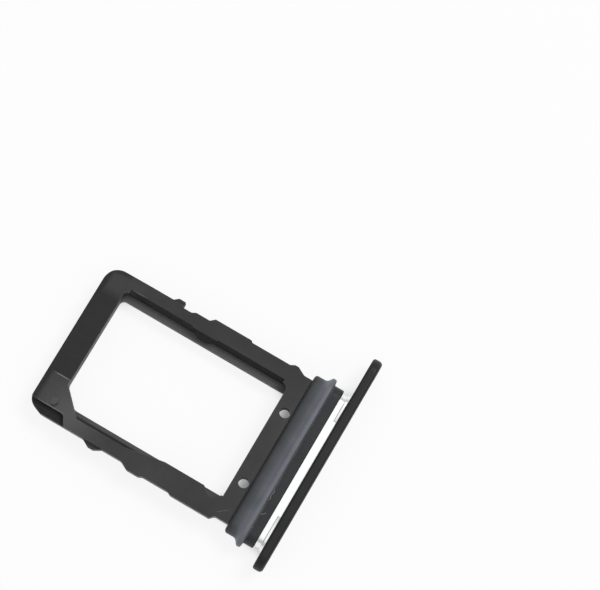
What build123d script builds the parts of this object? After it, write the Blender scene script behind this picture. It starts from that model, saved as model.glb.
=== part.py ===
from build123d import *
from math import isclose
import os

# Card tray: a moulded frame that carries one nano card, a metal faceplate whose tongue is moulded
# into the frame, and a silicone seal ring on the frame's seat between the two.
# X runs across the tray towards the eject hole, Y is the way the tray slides in, Z is up.
# All sizes are in millimetres.

# Card and its pocket
card_length = 12.3
card_width = 8.8
card_thickness = 0.67
card_corner_cut = 1.65
card_gap = 0.05           # clearance on each side of the card
card_sink = 0.2           # depth of the card's top below the frame's top
ledge_width = 0.5         # shelf under each long side of the card
ledge_thickness = 0.42
window_far_round = 0.35
window_cut_round = 0.4
pocket_left_round = 0.95  # near left corner, which follows the card's own corner
pocket_near_round = 0.4   # near right corner
pocket_far_round = 0.3
lead_in_width = 0.26      # bevel along the pocket wall on the eject hole's side
lead_in_depth = 0.5
rib_start = 6.65          # swelling of that wall against the card, from the far end
rib_length = 2.05
rib_ramp = 0.65
rib_rise = 0.2            # swelling at the foot of the bevel
rib_edge_rise = 0.09      # swelling at the upper edge of the bevel
rib_round = 0.35
tab_thickness = 0.18      # lip over the card's other long side
tab_far_root = 7.05       # stations of the lip from the far end, at the wall and at its tip
tab_far_tip = 9.75
tab_near_tip = 12.7
tab_near_root = 13.4

# Frame
side_rail = 0.98
pocket_shift = -0.12      # pocket's middle, from the frame's centreline
far_rail = 1.7
front_bar = 1.2
far_right_round = 1.1
far_left_cut_across = 0.42
far_left_cut_along = 1.05
far_left_round = 0.8
pin_hole_dia = 0.72
pin_hole_spacing = 5.3
pin_hole_shift = 0.02
pin_hole_setback = 0.72   # from the window's near edge to the holes' middles
frame_edge_break = 0.05
bar_bevel_length = 0.3    # slope of the front bar down to the seal, above and below
bar_bevel_depth = 0.07
nose_bevel_length = 0.52  # slope along the far edge, above and below
nose_bevel_depth = 0.26
nose_side_length = 4.0    # slope that fades out along the far corner's right side
nose_side_width = 0.7

# Lowered top of the far rail, and the rebate beside its left corner
far_step_from_edge = 2.83  # from the frame's left side to the step
far_step_depth = 0.2
far_step_slope = 0.08
far_step_ramp = 1.5
rebate_width = 0.7
rebate_length = 2.45
rebate_run_out = 0.4
rebate_depth = 0.35

# Snap lugs, notch and guide pads along the sides, placed from the far end
lug_thickness = 0.62
lug_round = 0.1
right_lug_start = 4.66
right_lug_length = 0.87
right_lug_rise = 0.29
right_lug_ramp = 0.34
notch_length = 0.95
notch_depth = 0.15
left_lug_start = 4.3
left_lug_length = 1.5
left_lug_rise = 0.31
left_lug_ramp = 0.55
right_guide_start = 7.5
right_guide_length = 3.15
right_guide_rise = 0.27
right_heel_rise = 0.15
heel_bump_length = 1.15
heel_bump_rise = 0.31
heel_bump_setback = 0.62  # from the front bar's front face
left_guide_start = 7.2
left_guide_length = 3.65
left_guide_rise = 0.18
left_bump_length = 1.45   # higher start of the left guide
left_bump_rise = 0.31
left_heel_rise = 0.3
left_heel_setback = 1.0   # from the front bar's front face
pad_ramp = 0.3
step_ramp = 0.12
pad_round = 0.1
bump_round = 0.3

# Seat of the seal, and the socket in it for the tongue
seat_inset = 0.13         # from the frame's side to the seat's end
seat_height = 0.95
socket_end_wall = 0.6
socket_wall = 0.25
socket_floor = 0.25

# Seal ring
seal_length = 2.15
seal_end_wall = 0.66
seal_wall = 0.315
seal_front_round = 0.08
seal_rear_round = 0.2
lip_setback = 0.7         # from the seal's front face to the lip
lip_base = 0.6
lip_rise = 0.38
lip_tip = 0.26
lip_lean = 0.06           # set-back of the lip's front edge at the tip
lip_round = 0.125
lip_root_round = 0.35     # hollow behind the lip
lip_root_run = 0.22

# Neck behind the plate
neck_length = 0.6
neck_inset = 0.2          # from the seal's end to the neck's end
neck_drop = 0.05          # from the seal's top to the neck's top
collar_length = 0.2       # raised band against the plate, at both ends of the neck
collar_step = 0.12
collar_plain_start = -3.4  # between these two places across, the neck has no collar
collar_plain_end = 3.8

# Faceplate
plate_thickness = 0.7
lip_proud = 0.12          # seal's lip above the plate's long edges, until the slot squeezes it
plain_overhang = 1.1      # plate past the seal at the plain end
eject_overhang = 2.9      # plate past the seal at the eject hole's end
plate_front_round = 0.25
plate_back_round = 0.16
eject_hole_dia = 1.1
eject_hole_break = 0.05

# Stations along Y from the plate's front face, and sizes across
seal_front = plate_thickness + neck_length
bar_front = seal_front + seal_length
pocket_near = bar_front + front_bar
pocket_length = card_length + 2 * card_gap
pocket_far = pocket_near + pocket_length
tray_length = pocket_far + far_rail
pocket_width = card_width + 2 * card_gap
window_width = pocket_width - 2 * ledge_width
window_corner_cut = card_corner_cut - ledge_width
frame_width = pocket_width + 2 * side_rail
half_width = frame_width / 2
frame_thickness = ledge_thickness + card_thickness + card_sink
frame_top = frame_thickness / 2
ledge_top = ledge_thickness - frame_top
pocket_right = pocket_shift + pocket_width / 2
seat_width = frame_width - 2 * seat_inset
tongue_width = seat_width - 2 * socket_end_wall
tongue_thickness = seat_height - 2 * socket_wall
tongue_length = seal_length - socket_floor
seal_width = seat_width + 2 * seal_end_wall
seal_height = seat_height + 2 * seal_wall
neck_width = seal_width - 2 * neck_inset
neck_height = seal_height - 2 * neck_drop
plate_length = seal_width + plain_overhang + eject_overhang
plate_height = seal_height + 2 * (lip_rise - lip_proud)
plate_shift = (eject_overhang - plain_overhang) / 2
overrun = 1.0             # how far a cut runs past the faces it opens


def stadium(width, height, front, length):
    # Bar with full-round ends, lying across the tray
    plane = Plane((0, front, 0), x_dir=(1, 0, 0), z_dir=(0, 1, 0))
    return extrude(plane * SlotOverall(width, height), length)


def end_edges(solid, front):
    # Edges round the front or the back face of a piece
    face = solid.faces().sort_by(Axis.Y)[0 if front else -1]
    return face.edges()


def plan_block(corners, low, high):
    # Block with the given outline in plan: each corner is X, Y and its rounding
    face = make_face(Polyline(*[(x, y) for x, y, _ in corners], close=True))
    for radius in sorted({rounding for _, _, rounding in corners if rounding > 0}):
        picked = [
            face.vertices().sort_by_distance((x, y, 0))[0]
            for x, y, rounding in corners if rounding == radius
        ]
        face = fillet(picked, radius)
    return extrude(Pos(0, 0, low) * face, high - low, dir=(0, 0, 1))


def cross_block(points, near, far):
    # Block with the given outline across the tray, between two stations along it
    outline = Polyline(*[(x, near, z) for x, z in points], close=True)
    return extrude(make_face(outline), far - near, dir=(0, 1, 0))


def end_slope(station, run, drop):
    # Space over a slope along an edge across the tray, on top of the frame and its mirror image below:
    # the slope starts at a station and falls along the run, which may be backwards
    falls = [(station, frame_top), (station + run, frame_top - drop)]
    over = [(station + run, frame_top + overrun), (station, frame_top + overrun)]
    section = make_face(Polyline(*[(-half_width - overrun, y, z) for y, z in falls + over], close=True))
    above = extrude(section, frame_width + 2 * overrun, dir=(1, 0, 0))
    return [above, Rot(Y=180) * above]


def side_corners(side, steps):
    # Corners of one long side from stations off the far end, steps out from the frame's side and roundings
    return [
        (side * (half_width + step), tray_length - station, rounding)
        for station, step, rounding in steps
    ]


def frame_blank():
    # Frame in outline, with its far corners, guide pads and notch
    bar_station = tray_length - bar_front
    bump_end = bar_station - heel_bump_setback
    bump_start = bump_end - heel_bump_length
    right_guide_end = right_guide_start + right_guide_length
    notch_start = right_lug_start + right_lug_length
    notch_end = notch_start + notch_length
    right = [
        (bar_station, 0, 0),
        (bump_end, 0, bump_round),
        (bump_end - 2 * pad_ramp, heel_bump_rise, pad_round),
        (bump_start + pad_ramp, heel_bump_rise, pad_round),
        (bump_start, right_heel_rise, pad_round),
        (right_guide_end, right_heel_rise, pad_round),
        (right_guide_end - step_ramp, right_guide_rise, pad_round),
        (right_guide_start + pad_ramp, right_guide_rise, pad_round),
        (right_guide_start, 0, pad_round),
        (notch_end, 0, pad_round),
        (notch_end - pad_ramp, -notch_depth, pad_round),
        (notch_start, -notch_depth, 0),
        (notch_start, 0, 0),
        (0, 0, far_right_round),
    ]
    left_guide_end = left_guide_start + left_guide_length
    left_heel_end = bar_station - left_heel_setback
    left = [
        (0, -far_left_cut_across, far_left_round),
        (far_left_cut_along, 0, far_left_round),
        (left_guide_start, 0, bump_round),
        (left_guide_start + 2 * pad_ramp, left_bump_rise, bump_round),
        (left_guide_start + left_bump_length, left_bump_rise, pad_round),
        (left_guide_start + left_bump_length + pad_ramp, left_guide_rise, pad_round),
        (left_guide_end, left_guide_rise, pad_round),
        (left_guide_end + 2 * step_ramp, left_heel_rise, pad_round),
        (left_heel_end - pad_ramp, left_heel_rise, pad_round),
        (left_heel_end, 0, bump_round),
        (bar_station, 0, 0),
    ]
    return plan_block(side_corners(1, right) + side_corners(-1, left), -frame_top, frame_top)


def snap_lugs():
    # Thin bumps that click into the reader's side springs
    root = -side_rail / 2
    right_end = right_lug_start + right_lug_length
    right = [
        (right_end, root, 0),
        (right_end, right_lug_rise, lug_round),
        (right_lug_start + right_lug_ramp, right_lug_rise, lug_round),
        (right_lug_start, 0, 0),
        (right_lug_start, root, 0),
    ]
    left_end = left_lug_start + left_lug_length
    left = [
        (left_end, root, 0),
        (left_end, 0, 0),
        (left_end - left_lug_ramp, left_lug_rise, lug_round),
        (left_lug_start + left_lug_ramp, left_lug_rise, lug_round),
        (left_lug_start, 0, 0),
        (left_lug_start, root, 0),
    ]
    return [
        plan_block(side_corners(side, steps), -lug_thickness / 2, lug_thickness / 2)
        for side, steps in ((1, right), (-1, left))
    ]


def card_pocket():
    # Space for the card above the ledges
    left = pocket_right - pocket_width
    outline = [
        (pocket_right, pocket_near, pocket_near_round),
        (pocket_right, pocket_far, pocket_far_round),
        (left + card_corner_cut, pocket_far, 0),
        (left, pocket_far - card_corner_cut, 0),
        (left, pocket_near, pocket_left_round),
    ]
    return plan_block(outline, ledge_top, frame_top + overrun)


def card_window():
    # Opening between the ledges, right through the frame
    left = pocket_shift - window_width / 2
    right = pocket_shift + window_width / 2
    outline = [
        (right, pocket_near, 0),
        (right, pocket_far, window_far_round),
        (left + window_corner_cut, pocket_far, window_cut_round),
        (left, pocket_far - window_corner_cut, window_cut_round),
        (left, pocket_near, 0),
    ]
    return plan_block(outline, -frame_top - overrun, frame_top + overrun)


def retaining_tab(low, high):
    # Outline of the lip over the card's left side, between two heights
    wall = pocket_right - pocket_width
    outline = [
        (wall, tray_length - tab_far_root, 0),
        (wall, tray_length - tab_near_root, 0),
        (wall + ledge_width, tray_length - tab_near_tip, 0),
        (wall + ledge_width, tray_length - tab_far_tip, 0),
    ]
    return plan_block(outline, low, high)


def lead_in_bevel(foot, edge, near, far):
    # Space over the bevel of the right pocket wall, from its foot out to its upper edge
    section = [
        (pocket_right - overrun, frame_top - lead_in_depth),
        (foot, frame_top - lead_in_depth),
        (edge, frame_top),
        (pocket_right - overrun, frame_top),
    ]
    return cross_block(section, near, far)


def card_rib():
    # Swelling of the right pocket wall that presses on the card, with the bevel carried over it
    foot = pocket_right - rib_rise
    edge = pocket_right + lead_in_width
    far = tray_length - rib_start
    near = far - rib_length
    outline = [
        (edge, near, 0),
        (edge, far, 0),
        (foot, far - rib_ramp, rib_round),
        (foot, near + rib_ramp, rib_round),
    ]
    swelling = plan_block(outline, ledge_top, frame_top)
    return swelling - lead_in_bevel(foot, edge - rib_edge_rise, near - overrun, far + overrun)


def nose_side():
    # Space over the slope at the far right corner, which fades out along the side
    inner = Vector(half_width - nose_side_width, tray_length, frame_top)
    fade_end = Vector(half_width, tray_length - nose_side_length, frame_top)
    lowest = Vector(half_width, tray_length, frame_top - nose_bevel_depth)
    slope = Plane(inner, z_dir=(fade_end - inner).cross(lowest - inner))
    reach = 2 * nose_side_length
    return slope * Pos(0, 0, reach / 2) * Box(reach, reach, reach)


def far_end_cuts():
    # Lowered top of the far rail and the rebate along its left corner
    step = far_step_from_edge - half_width
    section = [
        (step, frame_top + overrun),
        (step, frame_top),
        (step + far_step_slope, frame_top - far_step_depth),
        (pocket_right - far_step_ramp, frame_top - far_step_depth),
        (pocket_right, frame_top),
        (pocket_right, frame_top + overrun),
    ]
    lowered = cross_block(section, pocket_far, tray_length + overrun)
    rebate = [
        (-overrun, overrun, 0),
        (-overrun, -rebate_width, 0),
        (rebate_length, -rebate_width, rebate_run_out),
        (rebate_length + rebate_run_out, 0, 0),
        (rebate_length + rebate_run_out, overrun, 0),
    ]
    return [lowered, plan_block(side_corners(-1, rebate), frame_top - rebate_depth, frame_top + overrun)]


def tongue():
    # Flat tongue that locks the faceplate into the frame
    return Pos(0, seal_front + tongue_length / 2, 0) * Box(tongue_width, tongue_length, tongue_thickness)


def tray_frame():
    frame = frame_blank()
    rims = frame.edges().group_by(Axis.Z)
    frame = chamfer(rims[0] + rims[-1], frame_edge_break)
    frame -= end_slope(tray_length - nose_bevel_length, nose_bevel_length, nose_bevel_depth)
    frame -= end_slope(bar_front + bar_bevel_length, -bar_bevel_length, bar_bevel_depth)
    frame -= nose_side()
    frame += snap_lugs()
    frame += stadium(seat_width, seat_height, seal_front, seal_length + front_bar / 2)
    tab_under = frame_top - tab_thickness
    frame -= card_pocket() - retaining_tab(tab_under, frame_top)
    frame -= retaining_tab(-frame_top - overrun, tab_under)
    frame -= card_window()
    frame -= lead_in_bevel(
        pocket_right,
        pocket_right + lead_in_width,
        pocket_near + pocket_near_round,
        pocket_far - pocket_far_round,
    )
    frame += card_rib()
    frame -= far_end_cuts()
    for side in (-1, 1):
        place = (pin_hole_shift + side * pin_hole_spacing / 2, pocket_near - pin_hole_setback, 0)
        frame -= Pos(*place) * Cylinder(pin_hole_dia / 2, frame_thickness + overrun)
    return frame - tongue()


def collar():
    # Raised band at both ends of the neck, left out between them
    band = stadium(
        neck_width + 2 * collar_step, neck_height + 2 * collar_step, plate_thickness, collar_length)
    plain_middle = (collar_plain_start + collar_plain_end) / 2
    plain_length = collar_plain_end - collar_plain_start
    return band - Pos(plain_middle, plate_thickness, 0) * Box(plain_length, 2 * neck_length, plate_height)


def faceplate():
    plate = stadium(plate_length, plate_height, 0, plate_thickness)
    plate = fillet(end_edges(plate, True), plate_front_round)
    plate = fillet(end_edges(plate, False), plate_back_round)
    hole_place = Pos(plate_length / 2 - plate_height / 2, plate_thickness / 2, 0)
    plate -= hole_place * Rot(X=90) * Cylinder(eject_hole_dia / 2, plate_thickness + overrun)
    hole_rims = [
        edge for edge in plate.edges().filter_by(GeomType.CIRCLE)
        if isclose(edge.radius, eject_hole_dia / 2)
    ]
    plate = Pos(plate_shift, 0, 0) * chamfer(hole_rims, eject_hole_break)
    neck = stadium(neck_width, neck_height, plate_thickness, neck_length)
    return plate + neck + collar() + tongue()


def seal_lip():
    # Wiping lip: one section, drawn out along the flats and turned round the ends
    flat = seal_width - seal_height
    front = seal_front + lip_setback
    root = seal_height / 2 - seal_wall / 2
    crest = seal_height / 2 + lip_rise
    section = [
        (front, root),
        (front, seal_height / 2),
        (front + lip_lean, crest),
        (front + lip_lean + lip_tip, crest),
        (front + lip_base, seal_height / 2),
        (front + lip_base + lip_root_run, seal_height / 2),
        (front + lip_base + lip_root_run, root),
    ]
    outline = Polyline(*[(flat / 2, y, z) for y, z in section], close=True)
    face = make_face(outline)
    foot = face.vertices().sort_by_distance((flat / 2, front + lip_base, seal_height / 2))[0]
    face = fillet(foot, lip_root_round)
    tips = face.vertices().group_by(Axis.Z)[-1]
    face = fillet(tips, lip_round)
    top = extrude(face, flat, dir=(-1, 0, 0))
    end = revolve(face, Axis((flat / 2, 0, 0), (0, 1, 0)), 180)
    half = top + end
    return half + Rot(Y=180) * half


def seal_ring():
    ring = stadium(seal_width, seal_height, seal_front, seal_length)
    ring = fillet(end_edges(ring, True), seal_front_round)
    ring = fillet(end_edges(ring, False), seal_rear_round)
    ring += seal_lip()
    return ring - stadium(seat_width, seat_height, seal_front - overrun, seal_length + 2 * overrun)


# The origin is the middle of the tray's footprint, on the surface that the seal's lip stands on
to_origin = Pos(-plate_shift, -tray_length / 2, seal_height / 2 + lip_rise)

os.makedirs("parts", exist_ok=True)
for name, solid in (
    ("tray_frame", tray_frame()),
    ("faceplate", faceplate()),
    ("seal_ring", seal_ring()),
):
    export_step(to_origin * solid, f"parts/{name}.step")
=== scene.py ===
import bpy
import bmesh
import math
from mathutils import Matrix, Vector


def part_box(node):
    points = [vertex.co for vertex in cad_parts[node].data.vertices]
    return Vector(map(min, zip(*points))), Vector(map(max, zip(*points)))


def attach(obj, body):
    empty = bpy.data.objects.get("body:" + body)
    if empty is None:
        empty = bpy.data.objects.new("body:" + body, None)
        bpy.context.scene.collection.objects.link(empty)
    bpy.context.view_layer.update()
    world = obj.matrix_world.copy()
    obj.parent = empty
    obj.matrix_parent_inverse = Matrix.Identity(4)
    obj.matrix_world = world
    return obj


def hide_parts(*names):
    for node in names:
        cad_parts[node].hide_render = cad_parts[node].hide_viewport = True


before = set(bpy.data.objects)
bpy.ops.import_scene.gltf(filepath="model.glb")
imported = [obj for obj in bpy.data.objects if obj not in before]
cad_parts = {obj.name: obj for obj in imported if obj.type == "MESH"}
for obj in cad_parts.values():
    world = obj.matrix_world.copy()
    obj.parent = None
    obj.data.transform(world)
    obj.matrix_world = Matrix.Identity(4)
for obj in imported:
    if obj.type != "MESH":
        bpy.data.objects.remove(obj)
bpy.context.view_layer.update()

mm = 0.001
plateLow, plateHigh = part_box("faceplate")
sealLow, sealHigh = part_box("seal_ring")
trayLow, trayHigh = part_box("tray_frame")
midHeight = (plateLow[2] + plateHigh[2]) / 2
trayMiddle = (sealLow[0] + sealHigh[0]) / 2  # the seal is centred on the frame
plateFront = plateLow[1]


# small helpers for nodes

def addNode(tree, kind, inputs=None, **settings):
    node = tree.nodes.new(kind)
    for name, value in settings.items():
        setattr(node, name, value)
    for name, value in (inputs or {}).items():
        feed(tree, node.inputs[name], value)
    return node


def feed(tree, socket, value):
    if isinstance(value, bpy.types.NodeSocket):
        tree.links.new(value, socket)
    else:
        socket.default_value = value


def calc(tree, operation, a, b=0.0, clamp=False):
    node = tree.nodes.new("ShaderNodeMath")
    node.operation = operation
    node.use_clamp = clamp
    for socket, value in zip(node.inputs, (a, b)):
        feed(tree, socket, value)
    return node.outputs[0]


def remap(tree, value, low, high, outLow=0.0, outHigh=1.0, smooth=False):
    node = tree.nodes.new("ShaderNodeMapRange")
    node.interpolation_type = "SMOOTHSTEP" if smooth else "LINEAR"
    for name, item in (("Value", value), ("From Min", low), ("From Max", high),
                       ("To Min", outLow), ("To Max", outHigh)):
        feed(tree, node.inputs[name], item)
    return node.outputs["Result"]


def blendColour(tree, mask, first, second):
    node = tree.nodes.new("ShaderNodeMix")
    node.data_type = "RGBA"
    colourInputs = [s for s in node.inputs if s.type == "RGBA"]
    feed(tree, node.inputs["Factor"], mask)
    feed(tree, colourInputs[0], first)
    feed(tree, colourInputs[1], second)
    return [s for s in node.outputs if s.type == "RGBA"][0]


def levels(tree, value, stops):
    # grey level along a value, from (place, level) stops
    ramp = addNode(tree, "ShaderNodeValToRGB", {"Fac": value})
    elements = ramp.color_ramp.elements
    while len(elements) < len(stops):
        elements.new(1.0)
    for stop, (place, level) in zip(elements, stops):
        stop.position = place
        stop.color = (level, level, level, 1)
    return ramp.outputs["Color"]


def times(tree, *masks):
    product = masks[0]
    for mask in masks[1:]:
        product = calc(tree, "MULTIPLY", product, mask)
    return product


def near(tree, value, middle, reach):
    # 1 within half the reach of the middle, fading to 0 at the reach
    away = calc(tree, "ABSOLUTE", calc(tree, "SUBTRACT", value, middle))
    return remap(tree, away, reach, reach / 2)


def inside(tree, value, low, high):
    return times(tree, calc(tree, "GREATER_THAN", value, low), calc(tree, "LESS_THAN", value, high))


def distance(tree, flat, place):
    node = addNode(tree, "ShaderNodeVectorMath", operation="DISTANCE")
    tree.links.new(flat, node.inputs[0])
    node.inputs[1].default_value = (*place, 0)
    return node.outputs["Value"]


def newGroup(name, takes, gives):
    group = bpy.data.node_groups.new(name, "ShaderNodeTree")
    for label, kind, value in takes:
        socket = group.interface.new_socket(label, in_out="INPUT", socket_type=kind)
        if value is not None:
            socket.default_value = value
    for label in gives:
        group.interface.new_socket(label, in_out="OUTPUT", socket_type="NodeSocketFloat")
    return group, group.nodes.new("NodeGroupInput").outputs, group.nodes.new("NodeGroupOutput").inputs


def placeGroup(tree, group, inputs):
    node = tree.nodes.new("ShaderNodeGroup")
    node.node_tree = group
    for name, value in inputs.items():
        feed(tree, node.inputs[name], value)
    return node.outputs


def newMaterial(name):
    material = bpy.data.materials.new(name)
    material.use_nodes = True
    tree = material.node_tree
    shader = tree.nodes["Principled BSDF"]
    place = tree.nodes.new("ShaderNodeTexCoord").outputs["Object"]
    return material, tree, shader, place


# shared surface effects

effects = {
    "noiseSpread": (0.3, 0.7),  # where most of a noise's values lie
    "cellHeight": 0.5,  # the cells' share in the grain's height
    "edgeOpenness": (0.9, 0.5),  # looking from inside, at a flat face and at an outer edge
    "edgeBreaks": (0.35, 0.62), "edgeLeast": 0.15,
    "speckCore": 0.4,  # solid middle of a speck
    "streakRange": (0.62, 0.78),
}


def makeGrain():
    # fine moulded grain over a slow cloudy change
    group, takes, gives = newGroup(
        "surfaceGrain",
        [("Place", "NodeSocketVector", None), ("Grain Scale", "NodeSocketFloat", 14000.0),
         ("Cloud Scale", "NodeSocketFloat", 600.0)],
        ["Grain", "Cloud", "Height"])
    fine = addNode(group, "ShaderNodeTexNoise", {
        "Vector": takes["Place"], "Scale": takes["Grain Scale"], "Detail": 2.0, "Roughness": 0.6})
    cells = addNode(group, "ShaderNodeTexVoronoi", {
        "Vector": takes["Place"], "Scale": takes["Grain Scale"]}, feature="SMOOTH_F1")
    cloud = addNode(group, "ShaderNodeTexNoise", {
        "Vector": takes["Place"], "Scale": takes["Cloud Scale"], "Detail": 4.0, "Roughness": 0.55})
    feed(group, gives["Grain"], remap(group, fine.outputs["Fac"], *effects["noiseSpread"]))
    feed(group, gives["Cloud"], remap(group, cloud.outputs["Fac"], *effects["noiseSpread"]))
    domes = calc(group, "MULTIPLY", cells.outputs["Distance"], effects["cellHeight"])
    feed(group, gives["Height"], calc(group, "ADD", fine.outputs["Fac"], domes))
    return group


def makeEdgeWearAndHighlight():
    # edge wear and painted edge highlight: outer edges, found by looking through the piece from inside,
    # broken up by noise
    group, takes, gives = newGroup(
        "edgeWearAndHighlight",
        [("Place", "NodeSocketVector", None), ("Width", "NodeSocketFloat", 0.05 * mm),
         ("Break Scale", "NodeSocketFloat", 1800.0)],
        ["Mask"])
    openness = addNode(group, "ShaderNodeAmbientOcclusion", {"Distance": takes["Width"]},
                       samples=8, inside=True, only_local=True)
    edge = remap(group, openness.outputs["AO"], *effects["edgeOpenness"])
    broken = addNode(group, "ShaderNodeTexNoise", {
        "Vector": takes["Place"], "Scale": takes["Break Scale"], "Detail": 3.0})
    patches = remap(group, broken.outputs["Fac"], *effects["edgeBreaks"], effects["edgeLeast"], 1.0)
    feed(group, gives["Mask"], calc(group, "MULTIPLY", edge, patches))
    return group


def makeDust():
    # scattered specks, each in its own cell
    group, takes, gives = newGroup(
        "strayDust",
        [("Place", "NodeSocketVector", None), ("Scale", "NodeSocketFloat", 2200.0),
         ("Share", "NodeSocketFloat", 0.12), ("Size", "NodeSocketFloat", 0.16)],
        ["Mask"])
    cells = addNode(group, "ShaderNodeTexVoronoi", {"Vector": takes["Place"], "Scale": takes["Scale"]})
    draw = addNode(group, "ShaderNodeSeparateColor", {"Color": cells.outputs["Color"]})
    chosen = calc(group, "LESS_THAN", draw.outputs["Red"], takes["Share"])
    size = calc(group, "MULTIPLY", takes["Size"], draw.outputs["Green"])
    core = calc(group, "MULTIPLY", size, effects["speckCore"])
    spot = remap(group, cells.outputs["Distance"], size, core)
    feed(group, gives["Mask"], calc(group, "MULTIPLY", chosen, spot))
    return group


def makeStreaks():
    # hairline rubs in the way the tray slides
    group, takes, gives = newGroup(
        "slideStreaks",
        [("Place", "NodeSocketVector", None), ("Stretch", "NodeSocketVector", (9000.0, 260.0, 9000.0))],
        ["Mask"])
    drawn = addNode(group, "ShaderNodeVectorMath", operation="MULTIPLY")
    group.links.new(takes["Place"], drawn.inputs[0])
    group.links.new(takes["Stretch"], drawn.inputs[1])
    lines = addNode(group, "ShaderNodeTexNoise", {"Vector": drawn.outputs[0], "Scale": 1.0, "Detail": 2.0})
    feed(group, gives["Mask"], remap(group, lines.outputs["Fac"], *effects["streakRange"]))
    return group


grain = makeGrain()
edgeWearAndHighlight = makeEdgeWearAndHighlight()
dust = makeDust()
streaks = makeStreaks()
print("surface effects built")


# finishes

def surfaceMasks(tree, place, look):
    grains = placeGroup(tree, grain, {
        "Place": place, "Grain Scale": look["grainScale"], "Cloud Scale": look["cloudScale"]})
    wearAndHighlightMask = placeGroup(tree, edgeWearAndHighlight, {
        "Place": place, "Width": look["edgeMaskWidth"], "Break Scale": look["edgeMaskBreak"]})["Mask"]
    speck = placeGroup(tree, dust, {
        "Place": place, "Scale": look["speckScale"], "Share": look["speckShare"],
        "Size": look["speckSize"]})["Mask"]
    return grains, wearAndHighlightMask, speck


def layOver(tree, body, layers):
    # each layer is a mask, its strength and its colour
    for mask, strength, colour in layers:
        body = blendColour(tree, calc(tree, "MULTIPLY", mask, strength), body, colour)
    return body


def finishSurface(tree, shader, grains, look, below=None):
    bump = addNode(tree, "ShaderNodeBump", {
        "Height": grains["Height"], "Strength": look["grainStrength"], "Distance": look["grainDepth"]})
    if below:
        feed(tree, bump.inputs["Normal"], below)
    feed(tree, shader.inputs["Normal"], bump.outputs["Normal"])
    shader.inputs["Specular IOR Level"].default_value = look["gloss"]


framePlastic = {
    "dark": (0.0228, 0.0228, 0.0233, 1), "light": (0.0395, 0.0395, 0.040, 1),
    # the wear-and-highlight tone paints edge wear and painted edge highlights
    "wearAndHighlight": (0.16, 0.158, 0.155, 1), "specks": (0.22, 0.22, 0.21, 1),
    "paintedShade": (0.006, 0.006, 0.006, 1),  # painted shade on lowered and shaded faces
    "leftLedge": (0.086, 0.078, 0.074, 1), "rightLedge": (0.088, 0.088, 0.090, 1),  # paler ledge tones, the left one brownish
    "grainScale": 12000.0, "cloudScale": 420.0, "grainDepth": 0.004 * mm, "grainStrength": 0.7,
    "edgeMaskWidth": 0.07 * mm, "edgeMaskBreak": 1800.0, "wearAndHighlightAmount": 0.35, "rubPolish": 0.1,
    "speckScale": 1500.0, "speckShare": 0.06, "speckSize": 0.1, "speckAmount": 0.4,
    "streakAmount": 0.07,
    "roughness": (0.42, 0.56), "cloudRoughness": 0.08, "paintedShadeRoughness": 0.2, "gloss": 0.33,
    "faceUp": 0.6, "faceReach": 0.04 * mm,  # which faces count as tops, and how closely heights are met
    # ledges, with painted shade on the left one by its wall
    "ledgeThickness": 0.42 * mm, "ledgeCloud": 0.6, "ledgePatches": (0.55, 1.0),
    "ledgeShade": (-5.27 * mm, -5.18 * mm), "ledgeShadeFrom": -3.6 * mm, "ledgeShadeAmount": 0.75,
    # painted shade on darker faces: far rail, rebate, right wall of the pocket
    "paintedShadeAmount": 0.9,
    "farRailFrom": 7.675 * mm, "stepDepth": 0.2 * mm, "stepReach": 0.16 * mm, "stepAmount": 0.65,
    "rebateFrom": 6.3 * mm, "rebateDepth": 0.35 * mm,
    "wallAcross": (3.18 * mm, 3.68 * mm), "wallAlong": (-4.7 * mm, 7.4 * mm),
    "wallFoot": 0.05 * mm, "wallEdge": 0.03 * mm, "wallFade": 0.8 * mm, "wallFaded": 0.3,
    # painted shade: the right side is a little darker towards the bar
    "rightAcross": (2.0 * mm, 4.8 * mm), "rightAlong": (6.0 * mm, 2.0 * mm), "rightAmount": 0.36,
    # lighter round the far left corner
    "palePlace": (-5.45 * mm, 6.6 * mm), "paleReach": 3.4 * mm, "paleAmount": 0.32,
    # ejector mark on the far left pad, with a dark crescent of painted shade on its left
    "markPlace": (-5.2 * mm, 7.93 * mm), "markRadius": 0.3 * mm, "markDepth": 0.014 * mm,
    "markDrift": 0.09 * mm, "markRim": 0.08 * mm, "smudgeAmount": 0.2,
    "crescentFrom": 0.12 * mm, "crescentTo": 0.4 * mm, "crescentAmount": 0.8,
    # scratch beside the bar's left corner
    "scuffPlace": (-5.8 * mm, -5.2 * mm), "scuffTurn": 128, "scuffLength": 0.5 * mm,
    "scuffWidth": 0.03 * mm, "scuffDepth": 0.02 * mm, "scuffAmount": 0.28,
    # painted highlights along top edges, in the speck tone: place across, from and to along the tray in mm,
    # and how strongly
    "highlitEdges": [(-3.5, 7.7, 8.8, 1.0), (-5.63, 6.95, 8.8, 0.8), (3.69, 6.2, 7.2, 0.3)],
    "lineWidth": 0.05 * mm, "lineDepth": 0.06 * mm, "lineStart": 0.1 * mm, "lineFull": 0.3 * mm,
}


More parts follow.
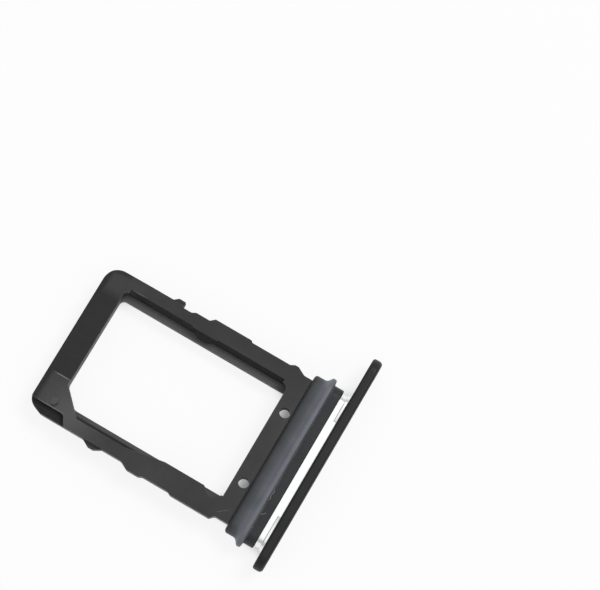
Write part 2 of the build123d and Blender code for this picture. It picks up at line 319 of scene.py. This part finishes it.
def makeFramePlastic():
    look = framePlastic
    material, tree, shader, place = newMaterial("frameBlackPlastic")
    grains, wearAndHighlightMask, speck = surfaceMasks(tree, place, look)
    streak = placeGroup(tree, streaks, {"Place": place})["Mask"]
    axes = addNode(tree, "ShaderNodeSeparateXYZ", {"Vector": place})
    across, along, up = (axes.outputs[name] for name in "XYZ")
    flat = addNode(tree, "ShaderNodeCombineXYZ", {"X": across, "Y": along}).outputs[0]
    normal = tree.nodes.new("ShaderNodeTexCoord").outputs["Normal"]
    upwards = addNode(tree, "ShaderNodeSeparateXYZ", {"Vector": normal}).outputs["Z"]
    faceUp = calc(tree, "GREATER_THAN", upwards, look["faceUp"])
    onLeft = calc(tree, "LESS_THAN", across, trayMiddle)
    top = trayHigh[2]

    # ledges a paler grey, in cloudy patches
    ledgeTop = trayLow[2] + look["ledgeThickness"]
    onLedge = times(tree, near(tree, up, ledgeTop, look["faceReach"]), faceUp)
    clear = calc(tree, "MAXIMUM", remap(tree, across, *look["ledgeShade"]),
                 calc(tree, "LESS_THAN", along, look["ledgeShadeFrom"]))
    ledge = times(tree, onLedge, clear,
                  remap(tree, grains["Cloud"], 0.0, look["ledgeCloud"], *look["ledgePatches"]))
    ledgeColour = blendColour(tree, onLeft, look["rightLedge"], look["leftLedge"])

    # painted shade: darker lowered faces, the left ledge by its wall, the pocket's right wall, and the right
    # side towards the bar
    shaded = times(tree, onLedge, calc(tree, "SUBTRACT", 1.0, clear), look["ledgeShadeAmount"])
    step = times(tree, near(tree, up, top - look["stepDepth"], look["stepReach"]),
                 calc(tree, "GREATER_THAN", along, look["farRailFrom"]), faceUp, look["stepAmount"])
    rebate = times(tree, near(tree, up, top - look["rebateDepth"], look["faceReach"]),
                   onLeft, calc(tree, "GREATER_THAN", along, look["rebateFrom"]), faceUp)
    wallEnd = look["wallAlong"][1]
    wall = times(tree, inside(tree, across, *look["wallAcross"]), inside(tree, along, *look["wallAlong"]),
                 inside(tree, up, ledgeTop + look["wallFoot"], top - look["wallEdge"]),
                 remap(tree, along, wallEnd, wallEnd - look["wallFade"], look["wallFaded"], 1.0))
    paintedShade = shaded
    for mask in (step, rebate, wall):
        paintedShade = calc(tree, "MAXIMUM", paintedShade, mask)
    rightSide = times(tree, remap(tree, across, *look["rightAcross"]),
                      remap(tree, along, *look["rightAlong"]))

    # painted highlight lines along a few top edges
    onTop = calc(tree, "GREATER_THAN", up, top - look["lineDepth"])
    paintedHighlight = 0.0
    for edgeAcross, start, end, strength in look["highlitEdges"]:
        onEdge = near(tree, across, edgeAcross * mm, look["lineWidth"])
        fadeIn = remap(tree, along, start * mm - look["lineStart"], start * mm + look["lineFull"])
        fadeOut = remap(tree, along, end * mm + look["lineStart"], end * mm - look["lineFull"])
        line = times(tree, onEdge, onTop, fadeIn, fadeOut, strength)
        paintedHighlight = calc(tree, "MAXIMUM", paintedHighlight, line)

    # lighter patch, and a round ejector mark with an uneven rim and a dark crescent of painted shade on its
    # left
    pale = remap(tree, distance(tree, flat, look["palePlace"]), look["paleReach"], 0.0, smooth=True)
    rimDrift = remap(tree, grains["Cloud"], 0.0, 1.0, -look["markDrift"], look["markDrift"])
    fromMark = calc(tree, "ADD", distance(tree, flat, look["markPlace"]), rimDrift)
    ring = near(tree, fromMark, look["markRadius"], look["markRim"])
    markMiddle = sum(look["markPlace"])
    leftOfMark = remap(tree, calc(tree, "ADD", across, along),
                       markMiddle - look["crescentFrom"], markMiddle - look["crescentTo"])
    crescent = times(tree, ring, leftOfMark)
    smudge = times(tree, remap(tree, fromMark, look["markRadius"], look["markRim"]), grains["Grain"])

    # short slanted scratch
    turned = addNode(tree, "ShaderNodeMapping", {
        "Vector": place,
        "Location": (*look["scuffPlace"], 0),
        "Rotation": (0, 0, math.radians(look["scuffTurn"]))}, vector_type="TEXTURE")
    scuffAxes = addNode(tree, "ShaderNodeSeparateXYZ", {"Vector": turned.outputs[0]})
    scuff = times(tree, near(tree, scuffAxes.outputs["Y"], 0.0, look["scuffWidth"]),
                  near(tree, scuffAxes.outputs["X"], 0.0, look["scuffLength"]),
                  calc(tree, "GREATER_THAN", up, top - look["scuffDepth"]))

    body = blendColour(tree, grains["Cloud"], look["dark"], look["light"])
    body = layOver(tree, body, [
        (pale, look["paleAmount"], look["wearAndHighlight"]),
        (smudge, look["smudgeAmount"], look["wearAndHighlight"]),
        (crescent, look["crescentAmount"], look["paintedShade"]),
        (rightSide, look["rightAmount"], look["paintedShade"]),
        (paintedShade, look["paintedShadeAmount"], look["paintedShade"]),
        (ledge, 1.0, ledgeColour),
        (wearAndHighlightMask, look["wearAndHighlightAmount"], look["wearAndHighlight"]),
        (streak, look["streakAmount"], look["wearAndHighlight"]),
        (paintedHighlight, 1.0, look["specks"]),
        (scuff, look["scuffAmount"], look["specks"]),
        (speck, look["speckAmount"], look["specks"]),
    ])
    feed(tree, shader.inputs["Base Color"], body)

    rough = remap(tree, grains["Grain"], 0.0, 1.0, *look["roughness"])
    rough = calc(tree, "ADD", rough, calc(tree, "MULTIPLY", grains["Cloud"], look["cloudRoughness"]))
    rough = calc(tree, "ADD", rough, calc(tree, "MULTIPLY", paintedShade, look["paintedShadeRoughness"]))
    rough = calc(tree, "SUBTRACT", rough, calc(tree, "MULTIPLY", wearAndHighlightMask, look["rubPolish"]), clamp=True)
    feed(tree, shader.inputs["Roughness"], rough)
    marks = addNode(tree, "ShaderNodeBump", {
        "Height": ring, "Strength": 1.0, "Distance": look["markDepth"]}, invert=True)
    finishSurface(tree, shader, grains, look, marks.outputs["Normal"])
    return material


plateFinish = {
    "dark": (0.007, 0.0072, 0.0074, 1), "light": (0.013, 0.0131, 0.0133, 1),
    # the wear-and-highlight tone paints edge wear and painted edge highlights
    "wearAndHighlight": (0.11, 0.11, 0.112, 1),
    "bare": (0.93, 0.935, 0.94, 1), "bareShade": (0.80, 0.81, 0.82, 1),  # neck and tongue
    "grainScale": 22000.0, "cloudScale": 300.0, "grainDepth": 0.003 * mm, "grainStrength": 0.5,
    "edgeMaskWidth": 0.06 * mm, "edgeMaskBreak": 1200.0, "wearAndHighlightAmount": 0.18,
    "speckScale": 1300.0, "speckShare": 0.04, "speckSize": 0.08, "speckAmount": 0.35,
    "brushStretch": (220.0, 16000.0, 16000.0), "brushRoughness": 0.1,
    "roughness": (0.42, 0.54), "bareRoughness": 0.27, "gloss": 0.3,
    "plateThickness": 0.7 * mm, "bareFrom": 0.012 * mm,  # bare metal starts just behind the plate
}


def makePlateFinish():
    look = plateFinish
    material, tree, shader, place = newMaterial("plateBlackAnodised")
    grains, wearAndHighlightMask, speck = surfaceMasks(tree, place, look)
    brushed = placeGroup(tree, streaks, {"Place": place, "Stretch": look["brushStretch"]})["Mask"]
    along = addNode(tree, "ShaderNodeSeparateXYZ", {"Vector": place}).outputs["Y"]
    bare = calc(tree, "GREATER_THAN", along, plateFront + look["plateThickness"] + look["bareFrom"])

    black = blendColour(tree, grains["Cloud"], look["dark"], look["light"])
    black = layOver(tree, black, [
        (wearAndHighlightMask, look["wearAndHighlightAmount"], look["wearAndHighlight"]), (speck, look["speckAmount"], look["wearAndHighlight"])])
    metal = blendColour(tree, brushed, look["bare"], look["bareShade"])
    feed(tree, shader.inputs["Base Color"], blendColour(tree, bare, black, metal))
    feed(tree, shader.inputs["Metallic"], bare)

    rough = remap(tree, grains["Grain"], 0.0, 1.0, *look["roughness"])
    brushRough = calc(tree, "MULTIPLY", brushed, look["brushRoughness"])
    bareRough = calc(tree, "ADD", brushRough, look["bareRoughness"])
    mixed = addNode(tree, "ShaderNodeMix", {"Factor": bare})
    feed(tree, mixed.inputs["A"], rough)
    feed(tree, mixed.inputs["B"], bareRough)
    feed(tree, shader.inputs["Roughness"], mixed.outputs["Result"])
    finishSurface(tree, shader, grains, look)
    return material


sealSilicone = {
    "dark": (0.012, 0.0136, 0.0150, 1), "light": (0.019, 0.0212, 0.0232, 1),
    # painted sheen: the pale tone laid on the lip and the band behind it
    "paintedSheen": (0.189, 0.206, 0.236, 1), "specks": (0.3, 0.3, 0.29, 1),
    "grainScale": 8000.0, "cloudScale": 700.0, "grainDepth": 0.004 * mm, "grainStrength": 0.5,
    "edgeMaskWidth": 0.06 * mm, "edgeMaskBreak": 900.0, "wearAndHighlightAmount": 0.3,
    "speckScale": 1700.0, "speckShare": 0.1, "speckSize": 0.11, "speckAmount": 0.4,
    "roughness": (0.46, 0.6), "gloss": 0.4,
    "lipSetback": 0.7 * mm,  # from the seal's front to the lip's foot
    # dust caught at the lip's foot
    "dustSetback": 0.02 * mm, "dustReach": 0.06 * mm, "dustScale": 900.0, "dustPatches": (0.25, 1.0),
    "dustAmount": 0.24, "dustRoughness": 0.2,
    # how strongly the painted sheen pales the seal, from its rear edge to the foot of its lip
    "sheenRun": [(0.0, 0.0), (0.1, 0.02), (0.26, 0.15), (0.43, 0.28), (0.5, 0.4), (0.62, 0.72),
                 (0.72, 0.95), (0.8, 0.72), (0.95, 0.7), (1.0, 0.4)],
    "sheenPatches": (0.8, 1.1),
}


def makeSealSilicone():
    look = sealSilicone
    material, tree, shader, place = newMaterial("sealGreySilicone")
    grains, wearAndHighlightMask, speck = surfaceMasks(tree, place, look)
    along = addNode(tree, "ShaderNodeSeparateXYZ", {"Vector": place}).outputs["Y"]
    lipFoot = sealLow[1] + look["lipSetback"]
    patchy = addNode(tree, "ShaderNodeTexNoise", {"Vector": place, "Scale": look["dustScale"], "Detail": 4.0})
    footDust = times(tree, near(tree, along, lipFoot - look["dustSetback"], look["dustReach"]),
                     remap(tree, patchy.outputs["Fac"], *effects["noiseSpread"], *look["dustPatches"]))
    # painted sheen on the lip and the band behind it, rising from the rear edge towards the lip
    behind = levels(tree, remap(tree, along, sealHigh[1], lipFoot), look["sheenRun"])
    paintedSheen = times(tree, behind, calc(tree, "GREATER_THAN", along, lipFoot),
                  remap(tree, grains["Cloud"], 0.0, 1.0, *look["sheenPatches"]))

    body = blendColour(tree, grains["Cloud"], look["dark"], look["light"])
    body = layOver(tree, body, [
        (paintedSheen, 1.0, look["paintedSheen"]),
        (wearAndHighlightMask, look["wearAndHighlightAmount"], look["paintedSheen"]),
        (footDust, look["dustAmount"], look["specks"]),
        (speck, look["speckAmount"], look["specks"]),
    ])
    feed(tree, shader.inputs["Base Color"], body)

    rough = remap(tree, grains["Grain"], 0.0, 1.0, *look["roughness"])
    rough = calc(tree, "ADD", rough, calc(tree, "MULTIPLY", footDust, look["dustRoughness"]))
    feed(tree, shader.inputs["Roughness"], rough)
    finishSurface(tree, shader, grains, look)
    return material


# the three moulded and machined pieces, as clean smooth-shaded copies of the solids

cleanCopy = {"mergeGap": 0.0005 * mm, "flatAngle": 0.4, "sharpAngle": 32, "edgeRound": 0.03 * mm,
             "edgeSegments": 2}


def dressSolid(nodeName, pieceName, material):
    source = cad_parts[nodeName]
    shape = bmesh.new()
    shape.from_mesh(source.data)
    bmesh.ops.remove_doubles(shape, verts=shape.verts, dist=cleanCopy["mergeGap"])
    bmesh.ops.dissolve_limit(
        shape, angle_limit=math.radians(cleanCopy["flatAngle"]), use_dissolve_boundaries=False,
        verts=shape.verts, edges=shape.edges, delimit={"NORMAL"})
    mesh = bpy.data.meshes.new(pieceName)
    shape.to_mesh(mesh)
    shape.free()
    mesh.shade_smooth()
    mesh.set_sharp_from_angle(angle=math.radians(cleanCopy["sharpAngle"]))
    mesh.materials.append(material)
    piece = bpy.data.objects.new(pieceName, mesh)
    bpy.context.scene.collection.objects.link(piece)
    rounding = piece.modifiers.new("edgeRound", "BEVEL")
    rounding.width = cleanCopy["edgeRound"]
    rounding.segments = cleanCopy["edgeSegments"]
    rounding.limit_method = "ANGLE"
    rounding.angle_limit = math.radians(cleanCopy["sharpAngle"])
    weighted = piece.modifiers.new("flatNormals", "WEIGHTED_NORMAL")
    weighted.keep_sharp = True
    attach(piece, "root")
    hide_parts(nodeName)
    return piece


trayPiece = dressSolid("tray_frame", "trayFrame", makeFramePlastic())
platePiece = dressSolid("faceplate", "metalFaceplate", makePlateFinish())
sealPiece = dressSolid("seal_ring", "siliconeSeal", makeSealSilicone())
print("pieces dressed:", [p.name for p in (trayPiece, platePiece, sealPiece)])


# lint on the seal, at the foot of its lip

lint = {
    "thickness": 0.034 * mm, "sides": 6,
    "sealTop": 0.79 * mm,  # from the middle height to the seal's flat top
    "colour": (0.42, 0.42, 0.40, 1), "shade": (0.24, 0.24, 0.235, 1),
    "grainScale": 20000.0, "cloudScale": 5000.0, "roughness": (0.6, 0.8),
    # places across from the tray's middle, back from the lip's foot, and up from the seal's top, in mm
    "runs": {
        "lintCurl": [(-3.80, 0.03, 0.03), (-3.83, -0.06, 0.02), (-3.80, -0.16, 0.02),
                     (-3.72, -0.25, 0.02), (-3.61, -0.31, 0.025)],
        "lintRun": [(-2.82, -0.03, 0.02), (-2.72, -0.08, 0.02), (-2.60, -0.05, 0.02),
                    (-2.46, -0.03, 0.03), (-2.32, -0.06, 0.02), (-2.18, -0.08, 0.02),
                    (-2.06, -0.04, 0.025), (-2.03, 0.0, 0.10), (-2.02, 0.02, 0.20)],
        "lintFleck": [(-4.92, -0.04, 0.02), (-4.86, -0.02, 0.04), (-4.79, -0.06, 0.02)],
    },
}


def makeLintFibre():
    material, tree, shader, place = newMaterial("lintFibre")
    grains = placeGroup(tree, grain, {
        "Place": place, "Grain Scale": lint["grainScale"], "Cloud Scale": lint["cloudScale"]})
    feed(tree, shader.inputs["Base Color"], blendColour(tree, grains["Cloud"], lint["shade"], lint["colour"]))
    feed(tree, shader.inputs["Roughness"], remap(tree, grains["Grain"], 0.0, 1.0, *lint["roughness"]))
    return material


def layFibre(name, run, material):
    foot = Vector((trayMiddle, sealLow[1] + sealSilicone["lipSetback"], midHeight + lint["sealTop"]))
    stops = [foot + Vector(point) * mm for point in run]
    shape = bmesh.new()
    ring = bmesh.ops.create_circle(
        shape, segments=lint["sides"], radius=lint["thickness"] / 2, cap_ends=True)["verts"]
    heading = (stops[1] - stops[0]).normalized()
    bmesh.ops.transform(shape, verts=ring, matrix=Matrix.Translation(stops[0])
                        @ Vector((0, 0, 1)).rotation_difference(heading).to_matrix().to_4x4())
    cap = shape.faces[:]
    for last, stop in zip(stops, stops[1:]):
        nextHeading = (stop - last).normalized()
        grown = bmesh.ops.extrude_face_region(shape, geom=cap)["geom"]
        bmesh.ops.delete(shape, geom=cap, context="FACES_ONLY")
        tip = [v for v in grown if isinstance(v, bmesh.types.BMVert)]
        bmesh.ops.translate(shape, verts=tip, vec=stop - last)
        bmesh.ops.rotate(shape, verts=tip, cent=stop,
                         matrix=heading.rotation_difference(nextHeading).to_matrix())
        heading = nextHeading
        cap = [f for f in grown if isinstance(f, bmesh.types.BMFace)]
    bmesh.ops.holes_fill(shape, edges=shape.edges, sides=lint["sides"])
    bmesh.ops.recalc_face_normals(shape, faces=shape.faces)
    mesh = bpy.data.meshes.new(name)
    shape.to_mesh(mesh)
    shape.free()
    mesh.shade_smooth()
    mesh.materials.append(material)
    piece = bpy.data.objects.new(name, mesh)
    bpy.context.scene.collection.objects.link(piece)
    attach(piece, "root")
    return piece


fibreLook = makeLintFibre()
fibres = [layFibre(name, run, fibreLook) for name, run in lint["runs"].items()]
print("lint laid:", len(fibres), "fibres")


# floor, light and camera

studio = {
    "floorSize": 1.2, "floorColour": (0.92, 0.92, 0.915, 1), "floorWhite": 0.86,
    "floorCloudScale": 60.0, "floorClouds": 0.03, "floorRoughness": 0.9, "floorGloss": 0.1,
    "coverReach": 2.2 * mm, "coverRange": (0.02, 0.42),  # where the tray covers the floor
    "worldFill": 0.62,
    # how bright the studio shows in gloss, from the horizon up to overhead
    "worldGloss": [(0.0, 1.0), (0.2, 0.95), (0.5, 0.4), (0.75, 0.5), (0.95, 1.0)],
    "keyPlace": (0.22, -0.14, 0.36), "keySize": 0.18, "keyPower": 0.80,
}


def showsWhite(tree):
    # rays from the camera, mirror reflections and clear pieces all meet the white
    path = tree.nodes.new("ShaderNodeLightPath")
    seen = calc(tree, "ADD", path.outputs["Is Camera Ray"], path.outputs["Is Glossy Ray"], clamp=True)
    return calc(tree, "ADD", seen, path.outputs["Is Transmission Ray"], clamp=True)


def makeFloor():
    shape = bmesh.new()
    bmesh.ops.create_grid(shape, x_segments=1, y_segments=1, size=studio["floorSize"])
    mesh = bpy.data.meshes.new("studioFloor")
    shape.to_mesh(mesh)
    shape.free()
    material, tree, shader, place = newMaterial("paleFloor")
    cloud = addNode(tree, "ShaderNodeTexNoise", {
        "Vector": place, "Scale": studio["floorCloudScale"], "Detail": 3.0})
    paler = remap(tree, cloud.outputs["Fac"], *effects["noiseSpread"], 0.0, studio["floorClouds"])
    tone = blendColour(tree, paler, studio["floorColour"], (1, 1, 1, 1))
    feed(tree, shader.inputs["Base Color"], tone)
    shader.inputs["Roughness"].default_value = studio["floorRoughness"]
    shader.inputs["Specular IOR Level"].default_value = studio["floorGloss"]
    glow = addNode(tree, "ShaderNodeEmission", {"Color": (1, 1, 1, 1), "Strength": 1.0})
    # well under the tray the floor keeps its own shaded tone
    cover = addNode(tree, "ShaderNodeAmbientOcclusion", {"Distance": studio["coverReach"]}, samples=16)
    clear = remap(tree, cover.outputs["AO"], *studio["coverRange"])
    share = times(tree, showsWhite(tree), clear, studio["floorWhite"])
    both = addNode(tree, "ShaderNodeMixShader", {"Fac": share})
    tree.links.new(shader.outputs[0], both.inputs[1])
    tree.links.new(glow.outputs[0], both.inputs[2])
    tree.links.new(both.outputs[0], tree.nodes["Material Output"].inputs["Surface"])
    mesh.materials.append(material)
    floor = bpy.data.objects.new("studioFloor", mesh)
    bpy.context.scene.collection.objects.link(floor)


def makeWorld():
    world = bpy.data.worlds.new("studioWorld")
    world.use_nodes = True
    tree = world.node_tree
    background = tree.nodes["Background"]
    background.inputs["Color"].default_value = (1, 1, 1, 1)
    looking = tree.nodes.new("ShaderNodeTexCoord").outputs["Generated"]
    height = addNode(tree, "ShaderNodeSeparateXYZ", {"Vector": looking}).outputs["Z"]
    gloss = levels(tree, height, studio["worldGloss"])
    path = tree.nodes.new("ShaderNodeLightPath")
    mirrored = calc(tree, "ADD", path.outputs["Is Glossy Ray"],
                    path.outputs["Is Transmission Ray"], clamp=True)
    level = remap(tree, path.outputs["Is Camera Ray"], 0.0, 1.0, studio["worldFill"], 1.0)
    feed(tree, background.inputs["Strength"], remap(tree, mirrored, 0.0, 1.0, level, gloss))
    bpy.context.scene.world = world


def addLamp(name, place, size, power):
    lamp = bpy.data.lights.new(name, "AREA")
    lamp.shape = "DISK"
    lamp.size = size
    lamp.energy = power
    holder = bpy.data.objects.new(name, lamp)
    holder.location = place
    holder.rotation_euler = Vector(place).to_track_quat("Z", "Y").to_euler()
    bpy.context.scene.collection.objects.link(holder)


cameraSet = {
    "azimuth": -72.162, "elevation": 79.069, "roll": 12.603, "lens": 135,
    "distance": 148.619 * mm, "slideRight": 6.6488 * mm, "slideUp": 6.7832 * mm,  # the tray sits low and left
    "clipStart": 1 * mm, "clipEnd": 10,
}


def addCamera():
    lens = bpy.data.cameras.new("photoCamera")
    lens.lens = cameraSet["lens"]
    lens.clip_start = cameraSet["clipStart"]
    lens.clip_end = cameraSet["clipEnd"]
    turn = (Matrix.Rotation(math.radians(cameraSet["azimuth"]), 4, "Z")
            @ Matrix.Rotation(math.radians(90 - cameraSet["elevation"]), 4, "X")
            @ Matrix.Rotation(math.radians(cameraSet["roll"]), 4, "Z"))
    slide = Matrix.Translation((cameraSet["slideRight"], cameraSet["slideUp"], cameraSet["distance"]))
    camera = bpy.data.objects.new("photoCamera", lens)
    camera.matrix_world = turn @ slide
    bpy.context.scene.collection.objects.link(camera)
    bpy.context.scene.camera = camera


makeFloor()
makeWorld()
addLamp("keyLamp", studio["keyPlace"], studio["keySize"], studio["keyPower"])
addCamera()
bpy.context.scene.view_settings.view_transform = "Standard"
print("studio ready")
